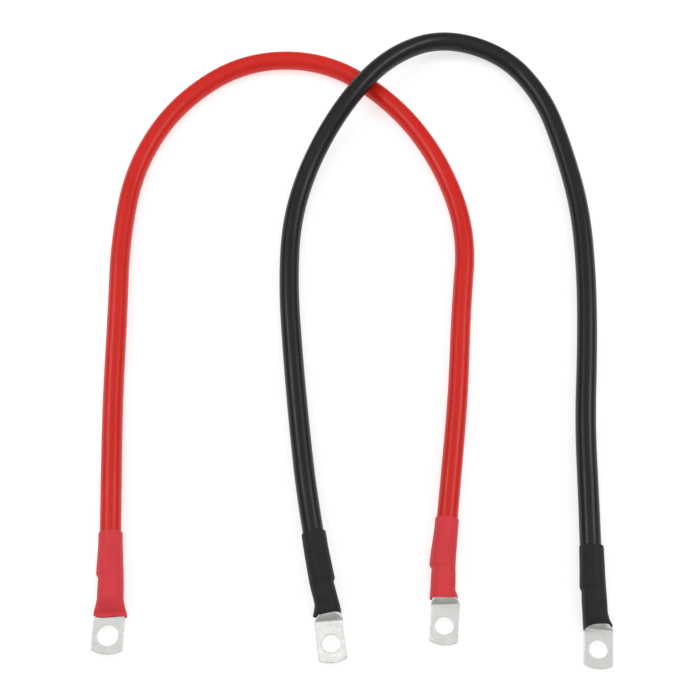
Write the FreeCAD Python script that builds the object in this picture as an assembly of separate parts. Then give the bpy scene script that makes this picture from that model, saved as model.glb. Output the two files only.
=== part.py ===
"""A red and black pair of battery cables, each with a crimped ring lug and a heat-shrink sleeve at both ends.

Both cables lie on a flat surface at z = 0 as upside-down U shapes, and the black one passes over the red one.
The origin is at the bottom centre of the row of four lugs and sleeves. +X runs along that row, from the red
cable's left lug to the black cable's right lug, +Y runs from the lugs towards the bends, and +Z is up.
"""

import FreeCAD, Part
import math
import os
from FreeCAD import Rotation, Vector

# Cable, sized as 25 mm2 battery cable
JACKET_RADIUS = 5.0
JACKET_WALL = 1.5
STRAND_RADIUS = 1.065  # seven bundles of this radius hold 25 mm2 of copper
STRAND_PITCH_RADIUS = 2.22  # circle that the six outer bundles lie on
OUTER_BUNDLES = 6
ARC_SHARE = 0.45  # share of the shorter run that each bend takes up

# Heat-shrink sleeve, with hot-melt adhesive inside it
SLEEVE_WALL = 0.8
LINER_WALL = 0.25
SLEEVE_STEP = 1.4  # length of the step down from the jacket's end to the barrel

# Ring lug, with distances measured from its barrel's mouth
BARREL_RADIUS = 4.5
BARREL_WALL = 1.0
STRAND_DEPTH = 10.8
CRIMP_START = 3.0
CRIMP_END = 10.0
CRIMP_ACROSS_FLATS = 8.3
BARREL_END = 11.8  # the barrel starts to flatten
SHOULDER = 14.0
SHOULDER_WIDTH = 10.6
SHOULDER_DROP = 1.6  # how far the top has come down at the shoulder
SHOULDER_CORNER_RADIUS = 3.2
HOLE_AT = 26.0
PALM_THICKNESS = 2.0
PALM_TIP_RADIUS = 12.0
PALM_CORNER_RADIUS = 1.5
PALM_EDGE_RADIUS = 0.4

# Height of a cable's axis: lying on the surface, inside a sleeve, and where black crosses over red
LOW = JACKET_RADIUS
IN_SLEEVE = JACKET_RADIUS + LINER_WALL + SLEEVE_WALL
CROSSING_GAP = 0.4
OVER = LOW + 2 * JACKET_RADIUS + CROSSING_GAP
RISING = 8.0

# Route of each cable's axis, from its left jacket end to its right one
RED_ROUTE = [
    (-112, 8, IN_SLEEVE), (-115, 53, IN_SLEEVE), (-118, 97, LOW), (-119, 142, LOW), (-121, 186, LOW),
    (-116, 231, LOW), (-95, 271, LOW), (-59, 299, LOW), (-14, 299, LOW), (23, 271, LOW),
    (47, 234, LOW), (60, 190, LOW), (55, 145, LOW), (52, 101, LOW), (47, 57, IN_SLEEVE), (42, 12, IN_SLEEVE),
]
BLACK_ROUTE = [
    (-14, 5, IN_SLEEVE), (-21, 42, IN_SLEEVE), (-26, 82, LOW), (-30, 121, LOW), (-33, 160, LOW),
    (-32, 199, LOW), (-21, 235, RISING), (-2, 267, OVER), (21, 295, OVER), (51, 312, RISING),
    (85, 303, LOW), (105, 274, LOW), (114, 239, LOW), (120, 203, LOW), (120, 163, LOW),
    (117, 123, LOW), (113, 83, LOW), (112, 43, IN_SLEEVE), (110.5, 2, IN_SLEEVE),
]

# Lugs for an M8 (5/16 inch) stud and for a 3/8 inch stud. The palm is flat from palm_root on.
M8_LUG = dict(palm_width=13.2, hole_radius=4.2, palm_root=17.1, tip=34.8)
LARGE_LUG = dict(palm_width=14.3, hole_radius=4.9, palm_root=19.2, tip=34.6)

# What differs from end to end. gap is from the jacket's end to the lug's mouth. heading turns the lug,
# in degrees from -Y towards +X. palm_turn and palm_shift turn and move its palm from there. sleeve_top is
# measured from the jacket's end up the cable, and sleeve_end from there along the lug.
RED_LEFT = dict(gap=1.1, heading=4.6, palm_turn=-5.6, palm_shift=-1.0, sleeve_top=20.0, sleeve_end=19.3)
RED_RIGHT = dict(gap=0.7, heading=-1.2, palm_turn=-4.3, palm_shift=1.0, sleeve_top=22.9, sleeve_end=15.2)
BLACK_LEFT = dict(gap=2.1, heading=12.8, palm_turn=-5.8, palm_shift=-1.2, sleeve_top=23.3, sleeve_end=15.2)
BLACK_RIGHT = dict(gap=1.5, heading=2.2, palm_turn=-5.6, palm_shift=1.0, sleeve_top=19.5, sleeve_end=17.6)

CABLES = {
    "red": dict(route=RED_ROUTE, left={**LARGE_LUG, **RED_LEFT}, right={**M8_LUG, **RED_RIGHT}),
    "black": dict(route=BLACK_ROUTE, left={**M8_LUG, **BLACK_LEFT}, right={**M8_LUG, **BLACK_RIGHT}),
}

ALONG, ACROSS, UP = Vector(1, 0, 0), Vector(0, 1, 0), Vector(0, 0, 1)
# Where a round section is divided, in degrees, to match a flat section's top, corners and sides
ROUND_DIVISIONS = (135, 45, 25, -25, -45, -135, -155, -205, -225)


def unit(vector):
    return Vector(vector).normalize()


# ---- Tubes along a route: straight runs joined by tangent arcs ----


def spans_of(route):
    """The route as moves of a cross-section: ("run", vector) and ("bend", centre, axis, degrees, radius)."""
    spans, here = [], route[0]
    for before, corner, after in zip(route, route[1:], route[2:]):
        ahead, onward = unit(corner - before), unit(after - corner)
        turn = ahead.getAngle(onward)
        tangent = ARC_SHARE * min((corner - before).Length, (after - corner).Length)
        radius = tangent / math.tan(turn / 2)
        axis = unit(ahead.cross(onward))
        start = corner - ahead * tangent
        spans.append(("run", start - here))
        spans.append(("bend", start + axis.cross(ahead) * radius, axis, math.degrees(turn), radius))
        here = corner + onward * tangent
    spans.append(("run", route[-1] - here))
    return spans


def length_of(spans):
    return sum(s[1].Length if s[0] == "run" else s[4] * math.radians(s[3]) for s in spans)


def wall_along(edge, spans):
    """Faces that the closed edge sweeps out along the spans, and the edge where it ends."""
    faces = []
    for span in spans:
        if span[0] == "run":
            faces.append(edge.extrude(span[1]))
            edge = edge.translated(span[1])
        else:
            centre, axis, degrees = span[1:4]
            faces.append(edge.revolve(centre, axis, degrees))
            edge = edge.rotated(centre, axis, degrees)
    return faces, edge


def cap(edges):
    return Part.makeFace([Part.Wire(edge) for edge in edges], "Part::FaceMakerBullseye")


def tube(route, radii, offset=Vector()):
    """A closed solid along the route, with one wall for each radius, moved aside by offset at its start."""
    spans = spans_of(route)
    ahead = unit(route[1] - route[0])
    first = [Part.makeCircle(radius, route[0] + offset, ahead) for radius in radii]
    faces, last = [cap(first)], []
    for edge in first:
        wall, end = wall_along(edge, spans)
        faces += wall
        last.append(end)
    faces.append(cap(last))
    shell = Part.makeShell(faces)
    shell.sewShape()
    solid = Part.makeSolid(shell)
    if solid.Volume < 0:
        solid.reverse()
    return solid


def report_tube(name, route, solid, radii):
    """Prints a tube's bend radii, and its volume against its section times its length."""
    spans = spans_of(route)
    bends = [round(span[4]) for span in spans if span[0] == "bend"]
    section = math.pi * abs(radii[0] ** 2 - (radii[1] ** 2 if len(radii) > 1 else 0))
    print(f"{name}: length {length_of(spans):.1f} mm, bend radii {bends} mm")
    print(f"  volume {solid.Volume:.0f} mm3, section times length {section * length_of(spans):.0f} mm3")


# ---- Sections across a lug or a sleeve, in a frame whose X runs along the lug from its mouth ----


def round_section(at, radius):
    """A circle across X, divided into eight arcs."""
    def point(degrees):
        angle = math.radians(degrees)
        return Vector(at, radius * math.cos(angle), radius * math.sin(angle))

    ends = zip(ROUND_DIVISIONS, ROUND_DIVISIONS[1:])
    return Part.Wire([Part.Arc(point(a), point((a + b) / 2), point(b)).toShape() for a, b in ends])


def flat_section(at, width, low, high, corner):
    """A rounded rectangle across X, divided as round_section is."""
    half, slant = width / 2, corner * (1 - math.sqrt(0.5))
    top, bottom, right, left = high - corner, low + corner, half - corner, corner - half
    points = [
        (left, high), (right, high), (half - slant, high - slant), (half, top), (half, bottom),
        (half - slant, low + slant), (right, low), (left, low), (slant - half, low + slant), (-half, bottom),
        (-half, top), (slant - half, high - slant),
    ]
    p = [Vector(at, y, z) for y, z in points]
    return Part.Wire([
        Part.makeLine(p[0], p[1]), Part.Arc(p[1], p[2], p[3]).toShape(),
        Part.makeLine(p[3], p[4]), Part.Arc(p[4], p[5], p[6]).toShape(),
        Part.makeLine(p[6], p[7]), Part.Arc(p[7], p[8], p[9]).toShape(),
        Part.makeLine(p[9], p[10]), Part.Arc(p[10], p[11], p[0]).toShape(),
    ])


def loft(sections):
    return Part.makeLoft(sections, True, True)


def shoulder_section(grown):
    """Between barrel and palm: wider than the barrel and lower, with its underside flat."""
    return flat_section(
        SHOULDER, SHOULDER_WIDTH + 2 * grown, -BARREL_RADIUS - grown, BARREL_RADIUS - SHOULDER_DROP + grown,
        SHOULDER_CORNER_RADIUS + grown,
    )


def palm_section(end, at, grown):
    """The palm's section, grown outwards all round."""
    section = flat_section(
        at, end["palm_width"] + 2 * grown, -BARREL_RADIUS - grown, PALM_THICKNESS - BARREL_RADIUS + grown,
        PALM_EDGE_RADIUS + grown,
    )
    return turned_palm(section, end)


def turned_palm(shape, end):
    """Turns what belongs to the palm about the middle of the palm's root, and moves it sideways."""
    moved = shape.copy()
    moved.rotate(ALONG * end["palm_root"], UP, end["palm_turn"])
    moved.translate(ACROSS * end["palm_shift"])
    return moved


def placed(shape, end):
    """Moves a shape from the lug's frame to where the lug lies."""
    moved = shape.copy()
    moved.rotate(Vector(), UP, end["heading"] - 90)
    moved.translate(end["point"] + lug_direction(end) * end["gap"])
    return moved


def lug_direction(end):
    return Rotation(UP, end["heading"] - 90).multVec(ALONG)


def placed_on_cable(shape, end):
    """Moves a shape whose X runs out of the jacket's end to where the cable ends."""
    moved = shape.copy()
    moved.rotate(Vector(), UP, end["cable_heading"] - 90)
    moved.translate(end["point"])
    return moved


# ---- Ring lug ----


def hexagon_prism(start, end, across_flats):
    corner_radius = across_flats / math.sqrt(3)
    angles = [math.radians(60 * i + 30) for i in range(7)]
    corners = [Vector(start, corner_radius * math.cos(a), corner_radius * math.sin(a)) for a in angles]
    return Part.Face(Part.makePolygon(corners)).extrude(ALONG * (end - start))


def barrel_solid():
    """The barrel with no bore, pressed to a hexagon along the crimp."""
    def piece(start, stop):
        return Part.makeCylinder(BARREL_RADIUS, stop - start, ALONG * start, ALONG)

    crimp = piece(CRIMP_START, CRIMP_END).common(hexagon_prism(CRIMP_START, CRIMP_END, CRIMP_ACROSS_FLATS))
    return piece(0, CRIMP_START).fuse([crimp, piece(CRIMP_END, BARREL_END)])


def palm_plate(end):
    """The flat palm, with a shallow curved tip, small corners and rounded edges."""
    root, tip, half, low = end["palm_root"], end["tip"], end["palm_width"] / 2, -BARREL_RADIUS
    shoulder = tip - PALM_TIP_RADIUS + math.sqrt(PALM_TIP_RADIUS**2 - half**2)
    a, b, c = Vector(root, -half, low), Vector(shoulder, -half, low), Vector(tip, 0, low)
    d, e = Vector(shoulder, half, low), Vector(root, half, low)
    outline = Part.Wire([
        Part.makeLine(a, b), Part.Arc(b, c, d).toShape(), Part.makeLine(d, e), Part.makeLine(e, a),
    ])
    plate = Part.Face(outline).extrude(UP * PALM_THICKNESS)
    upright = [
        edge for edge in plate.Edges
        if edge.BoundBox.ZLength > PALM_THICKNESS / 2 and edge.BoundBox.XMin > root + 1
    ]
    plate = plate.makeFillet(PALM_CORNER_RADIUS, upright)
    rim = [
        edge for edge in plate.Edges
        if edge.BoundBox.ZLength < PALM_THICKNESS / 2 and edge.BoundBox.XMax > root + 1
    ]
    return plate.makeFillet(PALM_EDGE_RADIUS, rim)


def lug_envelope(end):
    """The lug with no bore and no stud hole."""
    root = palm_section(end, end["palm_root"], 0)
    neck = loft([round_section(BARREL_END, BARREL_RADIUS), shoulder_section(0), root])
    return barrel_solid().fuse([neck, turned_palm(palm_plate(end), end)])


def lug(end):
    bore = Part.makeCylinder(BARREL_RADIUS - BARREL_WALL, BARREL_END, Vector(), ALONG)
    under_palm = Vector(HOLE_AT, 0, -BARREL_RADIUS - PALM_THICKNESS)
    hole = Part.makeCylinder(end["hole_radius"], 3 * PALM_THICKNESS, under_palm, UP)
    return placed(lug_envelope(end).cut([bore, turned_palm(hole, end)]), end)


# ---- Sleeve and its adhesive liner ----


def sleeve_body(end, grown):
    """The solid inside a skin that lies outside the jacket and the lug by grown."""
    on_cable = [round_section(at, JACKET_RADIUS + grown) for at in (-end["sleeve_top"], 0)]
    on_lug = [
        round_section(SLEEVE_STEP - end["gap"], BARREL_RADIUS + grown),
        round_section(BARREL_END, BARREL_RADIUS + grown),
        shoulder_section(grown),
        palm_section(end, end["palm_root"], grown),
        palm_section(end, HOLE_AT, grown),
    ]
    sections = [placed_on_cable(s, end) for s in on_cable] + [placed(s, end) for s in on_lug]
    reach = 3 * end["palm_width"]
    corner = Vector(end["sleeve_end"] - end["gap"], -reach / 2, -reach / 2)
    return loft(sections).cut(placed(Part.makeBox(reach, reach, reach, corner), end))


def sleeve(end):
    return sleeve_body(end, LINER_WALL + SLEEVE_WALL).cut(sleeve_body(end, LINER_WALL))


def liner(end, jacket_core):
    """The adhesive between the sleeve, the jacket and the lug, clear of the strands at the lug's mouth."""
    neck = Part.makeCylinder(JACKET_RADIUS - JACKET_WALL, 2 * end["gap"], ALONG * -1.5 * end["gap"], ALONG)
    return sleeve_body(end, LINER_WALL).cut([jacket_core, placed(neck, end), placed(lug_envelope(end), end)])


# ---- Whole cable ----


def heading_of(direction):
    """Degrees from -Y towards +X."""
    return math.degrees(math.atan2(direction.x, -direction.y))


def placed_end(spec, point, inner_point):
    """A lug's values with the jacket's end that it meets and the way the cable points there."""
    return dict(spec, point=point, cable_heading=heading_of(point - inner_point))


def strand_offsets(route):
    """Where each bundle's axis lies round the cable's axis, at the route's start."""
    ahead = unit(route[1] - route[0])
    offsets = {"centre": Vector()}
    for i in range(OUTER_BUNDLES):
        spoke = Rotation(ahead, 360 * i / OUTER_BUNDLES).multVec(UP)
        offsets[str(i + 1)] = spoke * STRAND_PITCH_RADIUS
    return offsets


def cable(colour, spec):
    """Every solid of one cable, by node name."""
    route = [Vector(*point) for point in spec["route"]]
    ends = {
        "left": placed_end(spec["left"], route[0], route[1]),
        "right": placed_end(spec["right"], route[-1], route[-2]),
    }
    jacket_radii = (JACKET_RADIUS, JACKET_RADIUS - JACKET_WALL)
    nodes = {f"{colour}_jacket": tube(route, jacket_radii)}
    report_tube(f"{colour}_jacket", route, nodes[f"{colour}_jacket"], jacket_radii)

    inside = [end["point"] + lug_direction(end) * (end["gap"] + STRAND_DEPTH) for end in ends.values()]
    strand_route = [inside[0], *route, inside[1]]
    for place, offset in strand_offsets(strand_route).items():
        nodes[f"{colour}_strands_{place}"] = tube(strand_route, [STRAND_RADIUS], offset)

    jacket_core = tube(route, [JACKET_RADIUS])
    for side, end in ends.items():
        nodes[f"{colour}_lug_{side}"] = lug(end)
        nodes[f"{colour}_sleeve_{side}"] = sleeve(end)
        nodes[f"{colour}_liner_{side}"] = liner(end, jacket_core)
    return nodes


def main():
    os.makedirs("parts", exist_ok=True)
    for colour, spec in CABLES.items():
        for name, shape in cable(colour, spec).items():
            if not shape.isValid() or not shape.Solids:
                print(f"{name}: not a valid solid")
            shape.exportStep(f"parts/{name}.step")


if __name__ == "__main__":
    main()
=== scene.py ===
"""Looks for a red and a black battery cable, each with a ring lug and a heat-shrink sleeve at both ends.

Lengths are metres, apart from the sleeves' own sizes, which are millimetres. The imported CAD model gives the
bodies and the nodes. Both cables lie on a pale floor at z = 0, with the row of lugs along +X and the bends
towards +Y.
"""

import math

import bmesh
import bpy
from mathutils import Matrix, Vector, noise


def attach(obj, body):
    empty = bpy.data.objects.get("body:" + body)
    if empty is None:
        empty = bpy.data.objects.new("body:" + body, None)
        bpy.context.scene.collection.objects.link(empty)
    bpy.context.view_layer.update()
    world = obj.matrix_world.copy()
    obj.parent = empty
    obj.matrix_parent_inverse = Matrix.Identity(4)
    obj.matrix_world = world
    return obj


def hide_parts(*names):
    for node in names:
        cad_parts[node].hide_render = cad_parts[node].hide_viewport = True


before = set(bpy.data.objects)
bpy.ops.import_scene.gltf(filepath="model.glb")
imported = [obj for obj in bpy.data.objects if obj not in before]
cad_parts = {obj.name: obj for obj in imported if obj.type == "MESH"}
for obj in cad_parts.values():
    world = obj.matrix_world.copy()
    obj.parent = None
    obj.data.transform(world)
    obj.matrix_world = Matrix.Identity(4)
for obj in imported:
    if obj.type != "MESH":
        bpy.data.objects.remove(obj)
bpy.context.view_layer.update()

MM = 0.001

# ---- Sizes shared with the CAD model ----
JACKET_RADIUS = 5.0 * MM
JACKET_WALL = 1.5 * MM
LINER_WALL = 0.25 * MM
SLEEVE_WALL = 0.8 * MM
STRAND_RADIUS = 1.065 * MM
STRAND_PITCH_RADIUS = 2.22 * MM
STRAND_DEPTH = 10.8 * MM
BARREL_RADIUS = 4.5 * MM
BARREL_WALL = 1.0 * MM
PALM_THICKNESS = 2.0 * MM
HOLE_AT = 26.0 * MM

# Height of a cable's axis: lying on the surface, inside a sleeve, and where black crosses over red
LOW = JACKET_RADIUS
IN_SLEEVE = JACKET_RADIUS + LINER_WALL + SLEEVE_WALL
CROSSING_GAP = 0.4 * MM
OVER = LOW + 2 * JACKET_RADIUS + CROSSING_GAP
RISING = 8.0 * MM

# Route of each cable's axis, from its left jacket end to its right one
RED_ROUTE = [
    (-0.112, 0.008, IN_SLEEVE), (-0.1148, 0.053, IN_SLEEVE), (-0.1175, 0.097, LOW), (-0.1185, 0.142, LOW),
    (-0.1202, 0.186, LOW), (-0.1154, 0.231, LOW), (-0.095, 0.271, LOW), (-0.059, 0.299, LOW),
    (-0.014, 0.299, LOW), (0.023, 0.271, LOW), (0.047, 0.234, LOW), (0.060, 0.190, LOW),
    (0.0552, 0.145, LOW), (0.0524, 0.101, LOW), (0.0474, 0.057, IN_SLEEVE), (0.042, 0.012, IN_SLEEVE),
]
BLACK_ROUTE = [
    (-0.014, 0.005, IN_SLEEVE), (-0.0209, 0.042, IN_SLEEVE), (-0.0257, 0.082, LOW), (-0.0296, 0.121, LOW),
    (-0.0326, 0.160, LOW), (-0.0315, 0.199, LOW), (-0.0208, 0.235, RISING), (-0.002, 0.267, OVER),
    (0.021, 0.295, OVER), (0.051, 0.3128, RISING), (0.085, 0.3027, LOW), (0.105, 0.274, LOW),
    (0.114, 0.239, LOW), (0.120, 0.203, LOW), (0.1202, 0.163, LOW), (0.1175, 0.123, LOW),
    (0.1134, 0.083, LOW), (0.1121, 0.043, IN_SLEEVE), (0.1105, 0.002, IN_SLEEVE),
]
LINE_RESOLUTION = 20  # points that the smooth line has for each control point

# Lugs for an M8 (5/16 inch) stud and for a 3/8 inch stud
M8_LUG = dict(palm_width=13.2 * MM, hole_radius=4.2 * MM, palm_root=17.1 * MM, tip=34.8 * MM)
LARGE_LUG = dict(palm_width=14.3 * MM, hole_radius=4.9 * MM, palm_root=19.2 * MM, tip=34.6 * MM)


# ---- Camera ----

CAMERA_TARGET = Vector((-0.001, 0.125, 0))
CAMERA_DISTANCE = 0.6546
CAMERA_ELEVATION = math.radians(65.7)
CAMERA_LENS = 66.857
CAMERA_SENSOR = 36.0


def make_camera():
    data = bpy.data.cameras.new("camera")
    data.lens = CAMERA_LENS
    data.sensor_width = CAMERA_SENSOR
    camera = bpy.data.objects.new("camera", data)
    back = Vector((0, -math.cos(CAMERA_ELEVATION), math.sin(CAMERA_ELEVATION)))
    camera.location = CAMERA_TARGET + back * CAMERA_DISTANCE
    camera.rotation_euler = (math.pi / 2 - CAMERA_ELEVATION, 0, 0)
    bpy.context.scene.collection.objects.link(camera)
    bpy.context.scene.camera = camera


# ---- Lines and frames along them ----


def smooth_line(route):
    """Points down the NURBS curve that has the route's points as its control points."""
    curve = bpy.data.curves.new("line", "CURVE")
    curve.dimensions = "3D"
    curve.resolution_u = LINE_RESOLUTION
    spline = curve.splines.new("NURBS")
    spline.points.add(len(route) - 1)
    for point, place in zip(spline.points, route):
        point.co = (*place, 1)
    spline.order_u = 3
    spline.use_endpoint_u = True
    holder = bpy.data.objects.new("line", curve)
    mesh = bpy.data.meshes.new_from_object(holder)
    line = [v.co.copy() for v in mesh.vertices]
    bpy.data.objects.remove(holder)
    bpy.data.curves.remove(curve)
    bpy.data.meshes.remove(mesh)
    return line


def tangents_of(line):
    ends = [line[0]] + line[:-2] + [line[-2]], [line[1]] + line[2:] + [line[-1]]
    return [(after - before).normalized() for before, after in zip(*ends)]


def frames_along(line):
    """At each point: the place, two directions across the line that don't twist, and the distance so far."""
    tangents = tangents_of(line)
    across = tangents[0].cross(Vector((0, 0, 1))).normalized()
    frames, distance = [], 0.0
    for i, (place, tangent) in enumerate(zip(line, tangents)):
        if i:
            across = tangents[i - 1].rotation_difference(tangent) @ across
            distance += (place - line[i - 1]).length
        across = (across - tangent * across.dot(tangent)).normalized()
        frames.append((place, across, across.cross(tangent), distance))
    return frames


def at_distance(line, distance):
    """The place and the direction onwards at a distance from the line's first point."""
    for before, after in zip(line, line[1:]):
        step = (after - before).length
        if distance <= step:
            break
        distance -= step
    return before.lerp(after, distance / step), (after - before).normalized()


# ---- Meshes ----


def grid_faces(rows, columns, close_rows, close_columns):
    """Quads of a grid whose points are numbered row by row."""
    faces = []
    for i in range(rows if close_rows else rows - 1):
        for j in range(columns if close_columns else columns - 1):
            below, right = (i + 1) % rows, (j + 1) % columns
            faces.append((i * columns + j, i * columns + right, below * columns + right, below * columns + j))
    return faces


def add_piece(name, points, faces, straight, material):
    """A smooth closed mesh object. straight holds each point's place on the piece as if it lay straight."""
    mesh = bpy.data.meshes.new(name)
    mesh.from_pydata([tuple(p) for p in points], [], faces)
    layer = mesh.attributes.new("straight", "FLOAT_VECTOR", "POINT")
    layer.data.foreach_set("vector", [c for p in straight for c in p])
    mesh.polygons.foreach_set("use_smooth", [True] * len(mesh.polygons))
    tidy = bmesh.new()
    tidy.from_mesh(mesh)
    bmesh.ops.remove_doubles(tidy, verts=tidy.verts, dist=1e-7)
    bmesh.ops.recalc_face_normals(tidy, faces=tidy.faces)
    tidy.to_mesh(mesh)
    tidy.free()
    mesh.materials.append(material)
    piece = bpy.data.objects.new(name, mesh)
    bpy.context.scene.collection.objects.link(piece)
    return piece


def tube(name, line, radii, segments, material, ripple):
    """A closed tube along a line: a hollow one has two radii. ripple(angle, distance) is added outside."""
    frames = frames_along(line)
    hollow = len(radii) == 2
    rows = [(*stop, radii[0], True) for stop in frames]
    if hollow:
        rows += [(*stop, radii[1], False) for stop in frames[::-1]]
    points, straight = [], []
    for place, across, up, distance, radius, outside in rows:
        for j in range(segments):
            angle = 2 * math.pi * j / segments
            r = radius + (ripple(angle, distance) if outside else 0)
            points.append(place + (across * math.cos(angle) + up * math.sin(angle)) * r)
            straight.append((r * math.cos(angle), r * math.sin(angle), distance))
    faces = grid_faces(len(rows), segments, hollow, True)
    if not hollow:
        faces.append(tuple(range(segments))[::-1])
        faces.append(tuple(range(len(points) - segments, len(points))))
    return add_piece(name, points, faces, straight, material)


def ripple_noise(angle, distance, around, along, seed):
    """Smooth noise over a tube's surface, with a size for its features round it and along it."""
    place = Vector((math.cos(angle) / around, math.sin(angle) / around, distance / along + seed))
    return noise.noise(place)


# ---- Materials ----


class Shader:
    """A material being built from nodes."""

    def __init__(self, name):
        self.material = bpy.data.materials.new(name)
        self.material.use_nodes = True
        self.tree = self.material.node_tree
        self.surface = self.tree.nodes["Principled BSDF"]
        self.place = self.add("ShaderNodeAttribute", attribute_name="straight").outputs["Vector"]

    def add(self, kind, inputs=None, **settings):
        """A node with its settings, and its inputs set to a value or joined to another node's output."""
        node = self.tree.nodes.new(kind)
        for key, value in settings.items():
            setattr(node, key, value)
        for key, value in (inputs or {}).items():
            self.join(node.inputs[key], value)
        return node

    def join(self, socket, value):
        if isinstance(value, bpy.types.NodeSocket):
            self.tree.links.new(value, socket)
        else:
            socket.default_value = value

    def stretched(self, scale):
        """The place on the piece, scaled differently round it and along it."""
        return self.add("ShaderNodeMapping", {"Vector": self.place, "Scale": scale}).outputs["Vector"]

    def noise(self, scale, detail=3.0, roughness=0.55):
        """Noise from 0 to 1 whose features are about 1 / scale long each way."""
        inputs = {"Vector": self.stretched(scale), "Scale": 1.0, "Detail": detail, "Roughness": roughness}
        return self.add("ShaderNodeTexNoise", inputs).outputs["Fac"]

    def spread(self, value, low, high, start=0.3, end=0.7):
        """A value from start to end, mapped to low to high."""
        inputs = {"Value": value, "From Min": start, "From Max": end, "To Min": low, "To Max": high}
        return self.add("ShaderNodeMapRange", inputs).outputs["Result"]

    def mix(self, factor, first, second):
        node = self.add("ShaderNodeMix", data_type="RGBA")
        self.join(node.inputs["Factor"], factor)
        self.join(node.inputs["A"], first)
        self.join(node.inputs["B"], second)
        return node.outputs["Result"]

    def bump(self, height, distance, strength=1.0, under=None):
        inputs = {"Height": height, "Distance": distance, "Strength": strength}
        if under is not None:
            inputs["Normal"] = under
        return self.add("ShaderNodeBump", inputs).outputs["Normal"]

    def finish(self, **inputs):
        for key, value in inputs.items():
            self.join(self.surface.inputs[key.replace("_", " ")], value)
        return self.material


def jacket_material(name, dark, light, dust):
    """Extruded PVC: cloudy colour, faint lines along it, fine grain and a little dust."""
    shader = Shader(name)
    clouds = shader.noise((90, 90, 25))
    lines = shader.noise((1400, 1400, 18), detail=2.0)
    grain = shader.noise((5200, 5200, 4200), detail=2.0)
    specks = shader.spread(shader.noise((900, 900, 700), detail=4.0), 0.0, 0.35, 0.66, 0.8)
    colour = shader.mix(shader.spread(clouds, 0.0, 1.0), dark, light)
    colour = shader.mix(specks, colour, dust)
    roughness = shader.spread(shader.noise((260, 260, 60)), 0.30, 0.38)
    bumps = shader.bump(lines, 0.00002, 0.3)
    return shader.finish(
        Base_Color=colour, Roughness=roughness, Normal=shader.bump(grain, 0.000004, 0.3, bumps),
        Specular_IOR_Level=0.3,
    )


def shrink_material(name, dark, light, streak):
    """Heat-shrunk polyolefin: satin, with soft streaks along it and a fine orange-peel surface."""
    shader = Shader(name)
    clouds = shader.noise((170, 170, 60))
    streaks = shader.noise((1900, 1900, 70), detail=3.0, roughness=0.6)
    peel = shader.noise((2600, 2600, 2200), detail=2.0)
    colour = shader.mix(shader.spread(clouds, 0.0, 1.0), dark, light)
    colour = shader.mix(shader.spread(streaks, 0.0, 0.3, 0.45, 0.8), colour, streak)
    roughness = shader.spread(streaks, 0.64, 0.56)
    bumps = shader.bump(streaks, 0.00002, 0.4)
    return shader.finish(
        Base_Color=colour, Roughness=roughness, Normal=shader.bump(peel, 0.00002, 0.4, bumps),
        Specular_IOR_Level=0.35,
    )


def tin_material():
    """Bright tin plate on copper: clouded, with fine handling scratches and a pressed grain."""
    shader = Shader("tinned_copper")
    clouds = shader.noise((240, 240, 240), detail=4.0)
    brushed = shader.noise((350, 4200, 4200), detail=3.0)
    scratches = shader.noise((2600, 260, 2600), detail=4.0, roughness=0.7)
    grain = shader.noise((3000, 3000, 3000), detail=3.0)
    colour = shader.mix(shader.spread(clouds, 0.0, 1.0), (0.65, 0.655, 0.625, 1), (0.71, 0.715, 0.69, 1))
    colour = shader.mix(shader.spread(scratches, 0.0, 0.5, 0.62, 0.75), colour, (0.60, 0.60, 0.59, 1))
    roughness = shader.spread(shader.noise((500, 500, 500), detail=4.0), 0.24, 0.34)
    bumps = shader.bump(brushed, 0.000006, 0.5)
    return shader.finish(
        Base_Color=colour, Metallic=1.0, Roughness=roughness,
        Normal=shader.bump(grain, 0.000005, 0.5, bumps),
    )


def copper_material():
    """Bundles of fine bare copper wire: twisted ridges, with a little tarnish."""
    shader = Shader("bare_copper")
    tarnish = shader.noise((400, 400, 200), detail=4.0)
    inputs = {"Vector": shader.stretched((2400, 2400, 1300)), "Scale": 1.0, "Distortion": 0.6}
    wires = shader.add("ShaderNodeTexWave", inputs, bands_direction="DIAGONAL").outputs["Fac"]
    colour = shader.mix(shader.spread(tarnish, 0.0, 1.0), (0.60, 0.25, 0.13, 1), (0.80, 0.40, 0.24, 1))
    return shader.finish(
        Base_Color=colour, Metallic=1.0, Roughness=shader.spread(tarnish, 0.45, 0.28),
        Normal=shader.bump(wires, 0.0001, 0.8),
    )


def adhesive_material():
    """Hot-melt adhesive: amber, cloudy and a little waxy."""
    shader = Shader("hot_melt_adhesive")
    clouds = shader.noise((500, 500, 300), detail=4.0)
    colour = shader.mix(shader.spread(clouds, 0.0, 1.0), (0.42, 0.28, 0.11, 1), (0.62, 0.47, 0.25, 1))
    return shader.finish(
        Base_Color=colour, Roughness=shader.spread(clouds, 0.28, 0.5),
        Normal=shader.bump(shader.noise((900, 900, 600)), 0.0001, 0.7), Subsurface_Weight=0.2,
        Subsurface_Scale=0.001,
    )


def floor_material():
    """A white light table with an all but invisible mottle."""
    shader = Shader("floor")
    place = shader.add("ShaderNodeTexCoord").outputs["Object"]
    mottle = shader.add("ShaderNodeTexNoise", {"Vector": place, "Scale": 6.0, "Detail": 3.0}).outputs["Fac"]
    colour = shader.mix(shader.spread(mottle, 0.0, 1.0), (0.50, 0.50, 0.50, 1), (0.52, 0.52, 0.52, 1))
    return shader.finish(
        Base_Color=colour, Roughness=0.9, Emission_Color=(1, 1, 1, 1), Emission_Strength=0.65,
    )


# ---- Ends of the cables ----

SLEEVE_BEND = 1.2 * MM  # the sleeve's sections turn over this length each side of the jacket's end


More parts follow.
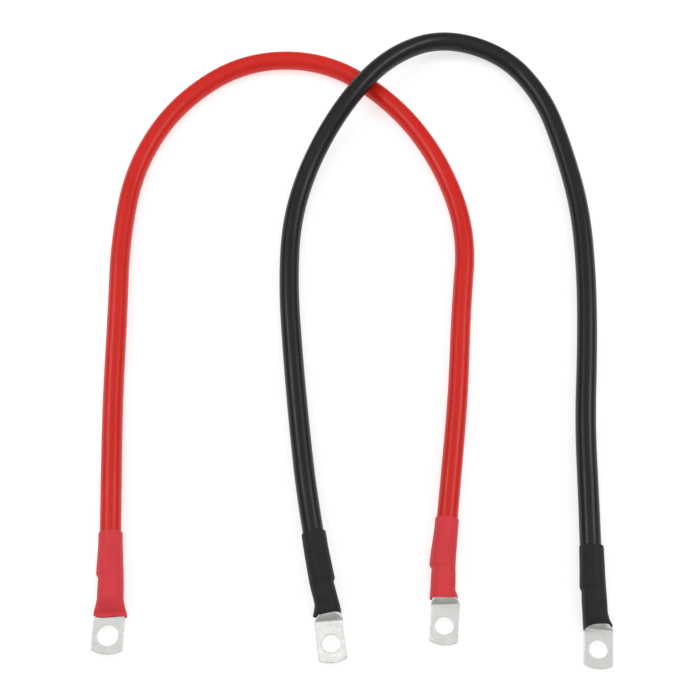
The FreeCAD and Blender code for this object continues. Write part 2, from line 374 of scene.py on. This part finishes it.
class End:
    """Where one lug and its sleeve lie: distances past the jacket's end, sideways and up become places.

    Sideways is towards +X, and up is measured from the cable's axis."""

    def __init__(self, line, spec):
        self.line = line
        self.lug = spec["lug"]
        self.gap = spec["gap"]
        self.drop = spec["drop"]
        self.flat_from = spec["flat_from"]
        self.root_skew = spec["root_skew"]
        self.palm_turn = math.radians(spec["palm_turn"])
        self.palm_shift = spec["palm_shift"]
        angle = math.radians(spec["heading"])
        self.onward = Vector((math.sin(angle), -math.cos(angle), 0))

    def place(self, along, sideways, up):
        """A place on the sleeve: up the cable while along is below zero, then down the lug."""
        if along < 0:
            centre, inward = at_distance(self.line, -along)
            onward = -inward
        else:
            centre = self.line[0] + self.onward * along
            onward = self.onward
        blend = min(1.0, max(0.0, (along + SLEEVE_BEND) / (2 * SLEEVE_BEND)))
        if 0 < blend < 1:
            start = -at_distance(self.line, SLEEVE_BEND)[1]
            onward = start.lerp(self.onward, blend).normalized()
        side = Vector((0, 0, 1)).cross(onward).normalized()
        return centre + side * sideways + onward.cross(side) * up

    def lug_place(self, x, y, z):
        """A place on the lug, with x measured from its mouth."""
        side = Vector((0, 0, 1)).cross(self.onward)
        return self.line[0] + self.onward * (self.gap + x) + side * y + Vector((0, 0, z))

    def palm_place(self, x, y, z, share=1.0):
        """A place on the lug once its palm's turn and shift are given to it, or a share of them."""
        root = self.lug["palm_root"]
        turn = self.palm_turn * share
        turned_x = root + (x - root) * math.cos(turn) - y * math.sin(turn)
        turned_y = (x - root) * math.sin(turn) + y * math.cos(turn)
        return self.lug_place(turned_x, turned_y + self.palm_shift * share, z)


# ---- Ring lug ----

ROW_POINTS = 17  # points across the top and across the bottom of a lug's section
PALM_TOP = PALM_THICKNESS - BARREL_RADIUS
PALM_EDGE_RADIUS = 0.3 * MM
PALM_CORNER_RADIUS = 1.2 * MM
PALM_TIP_RADIUS = 15.0 * MM
SEAM_DEPTH = 0.12 * MM  # groove where the flattened tube's two layers meet
SEAM_WIDTH = 0.14 * MM
HOLE_EDGE_RADIUS = 0.12 * MM
CRIMP_START, CRIMP_END = 3.0 * MM, 10.0 * MM
CRIMP_EDGE = 0.6 * MM  # length over which the crimp's ends slope in
CRIMP_FLAT = 4.15 * MM  # from the barrel's axis to the hexagon's flats
MOUTH_LIP = 0.15 * MM  # rounding of the barrel's mouth
NECK_LENGTH = 4.8 * MM  # the neck widens over this length before the palm
NECK_STEPS = 20


def smooth_step(value, start, end):
    t = min(1.0, max(0.0, (value - start) / (end - start)))
    return t * t * (3 - 2 * t)


def edge_profile():
    """Down the palm's edge: how far each point is in from the outline, and its height."""
    top, bottom, r = PALM_TOP, -BARREL_RADIUS, PALM_EDGE_RADIUS
    middle = (top + bottom) / 2
    turns = [math.radians(22.5 * i) for i in range(5)]
    upper = [(r * (1 - math.sin(a)), top - r * (1 - math.cos(a))) for a in turns]
    seam = [(0.0, middle + SEAM_WIDTH), (SEAM_DEPTH, middle), (0.0, middle - SEAM_WIDTH)]
    lower = [(inset, top + bottom - z) for inset, z in upper[::-1]]
    return upper + seam + lower


def section_ring(kind, half_width):
    """Points round a lug's section, from its top left clockwise, for the round barrel or the flat palm."""
    profile = edge_profile()
    if kind == "palm":
        reach = half_width - PALM_EDGE_RADIUS
        row = [reach * (2 * i / (ROW_POINTS - 1) - 1) for i in range(ROW_POINTS)]
        top = [(y, PALM_TOP) for y in row]
        right = [(half_width - inset, z) for inset, z in profile[1:-1]]
        bottom = [(y, -BARREL_RADIUS) for y in row[::-1]]
        left = [(inset - half_width, z) for inset, z in profile[-2:0:-1]]
        return top + right + bottom + left
    quarter, columns = math.pi / 2, len(profile) - 1
    steps = [quarter / (ROW_POINTS - 1)] * (ROW_POINTS - 1) + [quarter / columns] * columns
    angles = [1.5 * quarter]
    for step in (steps * 2)[:-1]:
        angles.append(angles[-1] - step)
    return [(half_width * math.cos(a), half_width * math.sin(a)) for a in angles]


def crimped(y, z, x):
    """A barrel's point pressed in towards a hexagon along the crimp."""
    press = smooth_step(x, CRIMP_START, CRIMP_START + CRIMP_EDGE)
    press *= smooth_step(-x, -CRIMP_END, CRIMP_EDGE - CRIMP_END)
    angle, radius = math.atan2(z, y), math.hypot(y, z)
    to_flat = ((angle + math.pi / 6) % (math.pi / 3)) - math.pi / 6
    pressed = min(radius, CRIMP_FLAT / math.cos(to_flat))
    share = 1 + press * (pressed / radius - 1)
    return y * share, z * share


def palm_outline(lug, root, inset):
    """Round the palm from its right root corner to its left one, moved in by inset."""
    half, tip = lug["palm_width"] / 2, lug["tip"]
    tip_centre, corner = tip - PALM_TIP_RADIUS, PALM_CORNER_RADIUS
    corner_x = tip_centre + math.sqrt((PALM_TIP_RADIUS - corner) ** 2 - (half - corner) ** 2)
    meets = math.atan2(half - corner, corner_x - tip_centre)
    side_steps, corner_steps, tip_steps = 14, 6, 16
    right = [(root + (corner_x - root) * i / side_steps, half - inset) for i in range(side_steps)]
    for i in range(corner_steps):
        angle = math.pi / 2 + (meets - math.pi / 2) * i / corner_steps
        reach = corner - inset
        right.append((corner_x + reach * math.cos(angle), half - corner + reach * math.sin(angle)))
    for i in range(tip_steps // 2):
        angle = meets * (1 - 2 * i / tip_steps)
        reach = PALM_TIP_RADIUS - inset
        right.append((tip_centre + reach * math.cos(angle), reach * math.sin(angle)))
    return right + [(tip - inset, 0.0)] + [(x, -y) for x, y in right[::-1]]


def palm_wave(x, y, seed):
    """How far a hand-pressed palm's face rises and falls at a point."""
    return 0.035 * MM * noise.noise(Vector((x / (5 * MM), y / (5 * MM), seed)))


class MeshParts:
    """Points, faces and straightened places of a mesh being put together, in a lug's frame."""

    def __init__(self, place):
        self.place = place
        self.points, self.straight, self.faces = [], [], []

    def grid(self, rows, close_columns=False):
        start = len(self.points)
        for row in rows:
            for point in row:
                self.straight.append(point)
                self.points.append(self.place(*point))
        for face in grid_faces(len(rows), len(rows[0]), False, close_columns):
            self.faces.append(tuple(start + i for i in face))

    def cap(self, row):
        start = len(self.points)
        self.straight += row
        self.points += [self.place(*point) for point in row]
        self.faces.append(tuple(range(start, start + len(row))))


def barrel_and_neck(end):
    """Rings from the barrel's mouth to where the palm is flat."""
    half, flat = end.lug["palm_width"] / 2, end.flat_from
    neck = flat - NECK_LENGTH
    circle, palm = section_ring("barrel", BARREL_RADIUS), section_ring("palm", half)
    stops = [x * MM for x in (0, 0.15, 0.5, 1.5, 3.0, 3.3, 3.6, 5.0, 7.0, 8.8)]
    stops += [neck + NECK_LENGTH * i / NECK_STEPS for i in range(NECK_STEPS + 1)]
    rows = []
    for x in stops:
        lip = max(0.0, MOUTH_LIP - x)
        wide = smooth_step(x, neck, flat - 0.3 * MM)
        down = smooth_step(x, *end.drop)
        under = smooth_step(x, neck, neck + 2.5 * MM)
        row = []
        for (round_y, round_z), (flat_y, flat_z) in zip(circle, palm):
            y, z = crimped(round_y, round_z, x)
            share = down if round_z > 0 else under
            y, z = y + (flat_y - y) * wide, z + (flat_z - z) * share
            shrink = 1 - lip / BARREL_RADIUS
            row.append((x, y * shrink, z * shrink))
        rows.append(row)
    return rows


def build_lug(name, end, material):
    """A lug pressed from one tube: bored barrel, neck, and a flat palm with a stud hole."""
    lug, root = end.lug, end.flat_from
    neck = root - NECK_LENGTH

    def place(x, y, z):
        near_root = smooth_step(x, neck, root) * (1 - smooth_step(x, root, root + 5 * MM))
        return end.palm_place(x + y * end.root_skew * near_root, y, z, smooth_step(x, neck, lug["palm_root"]))

    parts = MeshParts(place)
    parts.grid(barrel_and_neck(end), close_columns=True)

    bore, bore_end = BARREL_RADIUS - BARREL_WALL, min(neck, end.drop[0] + BARREL_WALL)
    mouth = section_ring("barrel", 1.0)
    rim_radii = [(0.0, BARREL_RADIUS - MOUTH_LIP), (0.0, bore + MOUTH_LIP)]
    bore_stops = rim_radii + [(MOUTH_LIP, bore), (bore_end, bore)]
    parts.grid([[(x, y * r, z * r) for y, z in mouth] for x, r in bore_stops], close_columns=True)
    parts.cap([(bore_end, y * bore, z * bore) for y, z in mouth])

    profile = edge_profile()
    seed = end.gap / MM
    parts.grid([[(x, y, z) for x, y in palm_outline(lug, root, inset)] for inset, z in profile])
    root_row = [(root, y, PALM_TOP) for y, _ in section_ring("palm", lug["palm_width"] / 2)[:ROW_POINTS]]
    rim = root_row[:-1] + [(x, y, PALM_TOP) for x, y in palm_outline(lug, root, PALM_EDGE_RADIUS)][:-1]

    def hole_point(x, y, radius):
        angle = math.atan2(y, x - HOLE_AT)
        return HOLE_AT + radius * math.cos(angle), radius * math.sin(angle)

    radius = lug["hole_radius"]
    for face_z, out in ((PALM_TOP, 1), (-BARREL_RADIUS, -1)):
        rows = [[(x, y, face_z) for x, y, _ in rim]]
        for share in (0.2, 0.4, 0.6, 0.8, 0.92):
            row = []
            for x, y, _ in rim:
                hole_x, hole_y = hole_point(x, y, radius + HOLE_EDGE_RADIUS)
                x, y = x + (hole_x - x) * share, y + (hole_y - y) * share
                wave = palm_wave(x, y, seed) * smooth_step(x, root, root + 2 * MM)
                row.append((x, y, face_z + out * wave * 4 * share * (1 - share)))
            rows.append(row)
        for angle in (0, 30, 60, 90):
            a = math.radians(angle)
            r = radius + HOLE_EDGE_RADIUS * (1 - math.sin(a))
            z = face_z - out * HOLE_EDGE_RADIUS * (1 - math.cos(a))
            rows.append([(*hole_point(x, y, r), z) for x, y, _ in rim])
        parts.grid(rows, close_columns=True)
    wall = [PALM_TOP - HOLE_EDGE_RADIUS, -BARREL_RADIUS + HOLE_EDGE_RADIUS]
    parts.grid([[(*hole_point(x, y, radius), z) for x, y, _ in rim] for z in wall], close_columns=True)

    piece = add_piece(name, parts.points, parts.faces, parts.straight, material)
    piece.modifiers.new("even_shading", "WEIGHTED_NORMAL").keep_sharp = True
    return piece


# ---- Heat-shrink sleeve and adhesive ----

SLEEVE_SEGMENTS = 72
# All of these are millimetres.
SLEEVE_ROW = 0.55  # length between the rings of points along a sleeve
FINE_ROW = 0.25  # the same about the jacket's end, where the sleeve steps down
FINE_FROM, FINE_TO = -1.2, 1.6
UNDER_CABLE = 6.0  # from the cable's axis down to the underside of the sleeve on it
UNDER_LUG = 5.3  # the same where the sleeve is pressed flat below
CORNER_REACH = 0.35  # corners between two keys are rounded off over this length
SHEET = 0.45  # thickness of the shrunk sheet
SHEET_GROWS = 0.15  # how much thicker it is at the lug's end
DRAWN_FROM = 8.0  # past here the sections lean, to meet the sleeve's slanted edge
DENT = 0.07  # unevenness of a sleeve shrunk by hand
STREAK = 0.012
CRIMP_SHOWS = 0.08  # how far the crimp's flats draw the sleeve in
LINER_DEPTHS = (0.5, 0.7)  # the adhesive's outer and inner faces, in from the sleeve's outside
LINER_SHORT_TOP, LINER_SHORT_END = 0.8, 1.2  # how much sooner the adhesive ends than the sleeve


def round_key(along, left, right):
    """A section where a sleeve is round: how far it reaches to its left and right, in millimetres."""
    radius = (left + right) / 2
    bottom = UNDER_CABLE if along < 0 else radius
    return (along, left, right, radius, bottom, 0.0, 2.0)


def flat_key(along, left, right, top, widest, squareness):
    """A section where the sleeve is pressed flat below: also its top, and the height where it is widest."""
    return (along, left, right, top, UNDER_LUG, widest, squareness)


def key_at(keys, along):
    """The section between two keys, with the corners between keys rounded off a little."""

    def between_keys(s):
        for before, after in zip(keys, keys[1:]):
            if s <= after[0]:
                break
        share = min(1.0, max(0.0, (s - before[0]) / (after[0] - before[0])))
        return [a + (b - a) * share for a, b in zip(before, after)]

    samples = [between_keys(along + CORNER_REACH * i / 2) for i in range(-2, 3)]
    return [sum(values) / len(values) for values in zip(*samples)]


def sleeve_point(key, angle, thinner):
    """Sideways and up, in millimetres, on a section at an angle from its right, moved in by thinner."""
    _, left, right, top, bottom, widest, squareness = key
    cosine, sine = math.cos(angle), math.sin(angle)
    half, middle = (left + right) / 2 - thinner, (right - left) / 2
    if sine >= 0:
        power, height = 2 + (squareness - 2) * 0.3, top - widest - thinner
    else:
        power, height = squareness, bottom + widest - thinner
    sideways = middle + half * math.copysign(abs(cosine) ** (2 / power), cosine)
    return sideways, widest + height * math.copysign(abs(sine) ** (2 / power), sine)


def sleeve_rows(start, stop):
    """Distances along a sleeve, closer together at the jacket's end."""
    rows, along = [], start
    while along < stop - 0.2:
        rows.append(along)
        along += FINE_ROW if FINE_FROM < along < FINE_TO else SLEEVE_ROW
    return rows + [stop]


def drawn(along, angle, stop, edge):
    """How far a sleeve's point moves along it, so that the sleeve's end has its slanted edge."""
    left, top, right = edge
    side = left + (right - left) * (1 + math.cos(angle)) / 2
    reach = side + (top - side) * max(0.0, math.sin(angle)) ** 1.5
    return smooth_step(along, DRAWN_FROM, stop) * (reach - stop)


def build_sleeve(name, end, keys, edge, seed, material):
    """A shrunk sleeve. edge says how far its end reaches at its left, top and right, in millimetres."""
    start, stop = keys[0][0], keys[-1][0]
    rows = sleeve_rows(start, stop)

    def surface(along, angle, thinner, dent):
        sideways, up = sleeve_point(key_at(keys, along), angle, thinner - dent)
        return (along + drawn(along, angle, stop, edge), sideways, up)

    def dents(along, angle):
        """Hand-made unevenness, soft streaks, and the crimp's flats showing through."""
        place = Vector((math.cos(angle) * 1.6, math.sin(angle) * 1.6, along / 6 + seed))
        streaks = Vector((math.cos(angle) * 7, math.sin(angle) * 7, along / 22 + seed))
        crimp = smooth_step(along, 3.5, 5.0) * smooth_step(-along, -11.5, -10.0)
        flats = 0.5 + 0.5 * math.cos(6 * angle)
        return DENT * noise.noise(place) + STREAK * noise.noise(streaks) - CRIMP_SHOWS * crimp * flats

    def wall(along):
        return SHEET + SHEET_GROWS * smooth_step(along, 10.0, stop)

    def ring(along, thinner, dented=1.0, shift=0.0):
        row = []
        for j in range(SLEEVE_SEGMENTS):
            angle = 2 * math.pi * j / SLEEVE_SEGMENTS
            s, sideways, up = surface(along, angle, thinner, dented * dents(along, angle))
            row.append((s + shift, sideways, up))
        return row

    rings = [ring(s, 0.0) for s in rows]
    for turn in (30, 60, 90, 120, 150):
        a = math.radians(turn)
        half = wall(stop) / 2
        rings.append(ring(stop, half * (1 - math.cos(a)), 1.0, half * math.sin(a)))
    rings += [ring(s, wall(s), 0.3) for s in rows[::-1]]
    for turn in (150, 120, 90, 60, 30):
        a = math.radians(turn)
        half = wall(start) / 2
        rings.append(ring(start, half * (1 - math.cos(a)), 1.0, -half * math.sin(a)))
    points, straight = [], []
    for row in rings:
        for s, sideways, up in row:
            points.append(end.place(s * MM, sideways * MM, up * MM))
            straight.append((sideways * MM, up * MM, s * MM))
    faces = grid_faces(len(rings), SLEEVE_SEGMENTS, True, True)
    return add_piece(name, points, faces, straight, material)


def build_liner(name, end, keys, edge, material):
    """The adhesive inside a sleeve, a little short of the sleeve's ends."""
    start, stop = keys[0][0], keys[-1][0]
    rows = sleeve_rows(start + LINER_SHORT_TOP, stop - LINER_SHORT_END)
    points, straight = [], []
    for depth, order in zip(LINER_DEPTHS, (rows, rows[::-1])):
        for s in order:
            key = key_at(keys, s)
            for j in range(SLEEVE_SEGMENTS // 2):
                angle = 4 * math.pi * j / SLEEVE_SEGMENTS
                sideways, up = sleeve_point(key, angle, depth)
                along = s + drawn(s, angle, stop, edge)
                points.append(end.place(along * MM, sideways * MM, up * MM))
                straight.append((sideways * MM, up * MM, s * MM))
    faces = grid_faces(2 * len(rows), SLEEVE_SEGMENTS // 2, True, True)
    return add_piece(name, points, faces, straight, material)


# ---- Jacket and strands ----

JACKET_SEGMENTS = 64
STRAND_SEGMENTS = 12
STRAND_LAY = 75.0 * MM  # length along the cable in which the outer bundles go round once


def build_jacket(name, line, seed, material):
    def ripple(angle, distance):
        dents = ripple_noise(angle, distance, 1.2, 9 * MM, seed)
        return 0.02 * MM * dents + 0.012 * MM * ripple_noise(angle, distance, 0.35, 60 * MM, seed)

    return tube(name, line, [JACKET_RADIUS, JACKET_RADIUS - JACKET_WALL], JACKET_SEGMENTS, material, ripple)


def no_ripple(angle, distance):
    return 0.0


def build_strands(colour, line, depths, material):
    """Seven bundles of fine wire, six of them twisted round one, from inside one lug to inside the other."""
    whole = [depths[0], *line, depths[1]]

    def strand(place, points):
        name = f"{colour}_strand_{place}"
        return tube(name, points, [STRAND_RADIUS], STRAND_SEGMENTS, material, no_ripple)

    strands = {"centre": strand("centre", whole)}
    for i in range(6):
        twisted = []
        for place, across, up, distance in frames_along(whole):
            angle = 2 * math.pi * (i / 6 + distance / STRAND_LAY)
            twisted.append(place + (across * math.cos(angle) + up * math.sin(angle)) * STRAND_PITCH_RADIUS)
        strands[str(i + 1)] = strand(i + 1, twisted)
    return strands


# ---- The two cables ----

# Each end's lug and sleeve. heading and palm_turn are degrees, and gap is from the jacket's end to the lug's
# mouth. Along the lug, its top comes down over drop, its palm is flat from flat_from on, and root_skew slants
# the line where the palm begins. keys are the sleeve's sections from the cable to the palm, and edge says how
# far the sleeve's end reaches at its left, top and right. Both count millimetres past the jacket's end.
ENDS = {
    ("red", "left"): dict(
        lug=LARGE_LUG, heading=4.6, gap=1.1 * MM, palm_turn=-5.6, palm_shift=-1.0 * MM,
        drop=(9.9 * MM, 14.7 * MM), flat_from=17.2 * MM, root_skew=0.0, edge=(17.1, 18.6, 19.2), seed=3.0,
        keys=[
            round_key(-20.0, 5.5, 5.7), round_key(-14.0, 5.6, 5.8), round_key(-7.0, 6.0, 6.1),
            round_key(-0.6, 6.35, 6.35), round_key(1.1, 5.5, 6.35), round_key(6.0, 5.8, 6.4),
            flat_key(11.6, 6.2, 6.15, 5.0, -0.5, 2.2), flat_key(14.8, 7.1, 6.6, 2.2, -1.8, 3.0),
            flat_key(17.0, 8.0, 7.1, -1.2, -3.2, 5.0), flat_key(18.6, 8.2, 7.2, -1.6, -3.4, 6.0),
        ],
    ),
    ("red", "right"): dict(
        lug=M8_LUG, heading=-1.2, gap=0.7 * MM, palm_turn=-4.3, palm_shift=1.3 * MM,
        drop=(13.2 * MM, 16.4 * MM), flat_from=16.4 * MM, root_skew=-0.13, edge=(14.4, 15.0, 13.9), seed=17.0,
        keys=[
            round_key(-22.9, 5.65, 5.6), round_key(-16.0, 5.65, 5.65), round_key(-7.0, 6.2, 5.7),
            round_key(-0.6, 6.35, 5.95), round_key(1.1, 5.2, 5.95), round_key(6.0, 5.75, 6.0),
            flat_key(11.5, 5.9, 5.8, 5.1, -0.4, 2.2), flat_key(15.0, 6.0, 7.1, 4.7, -2.5, 3.5),
        ],
    ),
    ("black", "left"): dict(
        lug=M8_LUG, heading=12.8, gap=2.1 * MM, palm_turn=-5.8, palm_shift=-0.9 * MM,
        drop=(12.2 * MM, 16.1 * MM), flat_from=16.1 * MM, root_skew=0.05, edge=(14.2, 15.4, 15.9), seed=29.0,
        keys=[
            round_key(-23.3, 5.65, 5.8), round_key(-13.0, 5.85, 5.9), round_key(-0.6, 5.8, 6.3),
            round_key(1.1, 5.75, 5.35), round_key(9.0, 5.65, 5.75), flat_key(11.3, 5.8, 5.85, 5.1, -0.4, 2.2),
            flat_key(14.4, 6.7, 5.9, 5.1, -1.6, 3.0), flat_key(16.0, 7.4, 5.7, 4.5, -2.5, 3.5),
        ],
    ),
    ("black", "right"): dict(
        lug=M8_LUG, heading=2.2, gap=1.5 * MM, palm_turn=-7.0, palm_shift=1.3 * MM,
        drop=(12.9 * MM, 17.6 * MM), flat_from=17.6 * MM, root_skew=0.0, edge=(18.3, 17.0, 17.6), seed=41.0,
        keys=[
            round_key(-19.5, 5.3, 6.1), round_key(-8.0, 5.5, 6.2), round_key(-0.6, 5.8, 6.3),
            round_key(1.3, 5.05, 6.3), round_key(6.0, 5.6, 6.15), flat_key(11.8, 5.75, 5.85, 5.1, -0.4, 2.2),
            flat_key(15.0, 5.7, 6.4, 5.05, -1.6, 3.0), flat_key(17.6, 5.7, 7.7, 4.0, -2.5, 3.5),
        ],
    ),
}


def claim(piece, body, slot, *nodes):
    """Hand a piece to a body, as the looks of CAD nodes."""
    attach(piece, body)
    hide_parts(*nodes)


def build_cable(colour, route, seed, jacket, sleeve, tin, copper, adhesive):
    """One cable with its lugs, sleeves, adhesive and strands."""
    body = f"{colour}_cable"
    line = smooth_line(route)
    lines = {"left": line, "right": line[::-1]}
    ends = {}
    for side, from_end in lines.items():
        spec = ENDS[colour, side]
        shape = spec["keys"], spec["edge"]
        end = ends[side] = End(from_end, spec)
        lug = build_lug(f"{colour}_lug_{side}_shape", end, tin)
        claim(lug, body, "tinned_copper", f"{colour}_lug_{side}")
        shrunk = build_sleeve(f"{colour}_sleeve_{side}_shape", end, *shape, spec["seed"], sleeve)
        claim(shrunk, body, f"{colour}_heat_shrink", f"{colour}_sleeve_{side}")
        liner = build_liner(f"{colour}_liner_{side}_shape", end, *shape, adhesive)
        claim(liner, body, "hot_melt_adhesive", f"{colour}_liner_{side}")

    depths = [end.lug_place(STRAND_DEPTH, 0, 0) for end in ends.values()]
    strands = build_strands(colour, line, depths, copper)
    for place, strand in strands.items():
        claim(strand, body, "bare_copper", f"{colour}_strands_{place}")

    cover = build_jacket(f"{colour}_jacket_shape", line, seed, jacket)
    claim(cover, body, f"{colour}_jacket", f"{colour}_jacket")


# ---- Studio ----

SOFTBOX_Z = 0.9
STRIP_LENGTH = 0.38
STRIP_Y = 0.47
FLOOR_HALF = 20.0
SKY_AXIS = (0, -0.15, 0.99)
SKY_HORIZON = 0.20
SKY_TOP = 0.92


def make_softbox(name, place, width, length, radiance):
    """A softbox above the cables, turned about Y to face them. place is its middle in X and Y."""
    light = bpy.data.lights.new(name, "AREA")
    light.shape = "RECTANGLE"
    light.size, light.size_y = width, length
    light.energy = radiance * math.pi * width * length
    softbox = bpy.data.objects.new(name, light)
    softbox.location = (*place, SOFTBOX_Z)
    softbox.rotation_euler = (0, math.atan2(place[0], SOFTBOX_Z), 0)
    bpy.context.scene.collection.objects.link(softbox)


def make_sky():
    """A tent of white cloth: brightest overhead and a little towards the lugs, dimmer towards the horizon."""
    world = bpy.data.worlds.new("studio")
    world.use_nodes = True
    nodes, links = world.node_tree.nodes, world.node_tree.links
    direction = nodes.new("ShaderNodeTexCoord").outputs["Generated"]
    height = nodes.new("ShaderNodeVectorMath")
    height.operation = "DOT_PRODUCT"
    height.inputs[1].default_value = SKY_AXIS
    links.new(direction, height.inputs[0])
    ramp = nodes.new("ShaderNodeMapRange")
    ramp.inputs["To Min"].default_value = SKY_HORIZON
    ramp.inputs["To Max"].default_value = SKY_TOP
    links.new(height.outputs["Value"], ramp.inputs["Value"])
    sky = nodes["Background"]
    sky.inputs["Color"].default_value = (1, 1, 1, 1)
    links.new(ramp.outputs["Result"], sky.inputs["Strength"])
    bpy.context.scene.world = world


def make_studio():
    """The sky, two strips that draw the lines along the cables, a card over a palm, and the floor."""
    make_sky()
    make_softbox("left_strip", (-0.78, STRIP_Y), 0.30, STRIP_LENGTH, 8.0)
    make_softbox("right_strip", (0.84, STRIP_Y), 0.32, STRIP_LENGTH, 8.0)
    make_softbox("middle_card", (-0.05, 0.15), 0.14, 0.22, 1.2)

    mesh = bpy.data.meshes.new("floor")
    corners_of_floor = [(x * FLOOR_HALF, y * FLOOR_HALF, 0) for x, y in ((-1, -1), (1, -1), (1, 1), (-1, 1))]
    mesh.from_pydata(corners_of_floor, [], [(0, 1, 2, 3)])
    mesh.materials.append(floor_material())
    floor = bpy.data.objects.new("floor", mesh)
    bpy.context.scene.collection.objects.link(floor)
    bpy.context.scene.view_settings.view_transform = "Standard"


make_camera()
tin = tin_material()
copper = copper_material()
adhesive = adhesive_material()
build_cable(
    "red", RED_ROUTE, 5.0,
    jacket_material(
        "red_jacket", dark=(0.63, 0.010, 0.004, 1), light=(0.68, 0.014, 0.006, 1), dust=(0.60, 0.12, 0.09, 1),
    ),
    shrink_material(
        "red_heat_shrink", dark=(0.67, 0.033, 0.043, 1), light=(0.72, 0.042, 0.054, 1),
        streak=(0.74, 0.06, 0.07, 1),
    ),
    tin, copper, adhesive,
)
build_cable(
    "black", BLACK_ROUTE, 11.0,
    jacket_material(
        "black_jacket", dark=(0.005, 0.005, 0.006, 1), light=(0.009, 0.009, 0.010, 1),
        dust=(0.08, 0.08, 0.08, 1),
    ),
    shrink_material(
        "black_heat_shrink", dark=(0.005, 0.005, 0.005, 1), light=(0.008, 0.008, 0.009, 1),
        streak=(0.014, 0.014, 0.014, 1),
    ),
    tin, copper, adhesive,
)
make_studio()
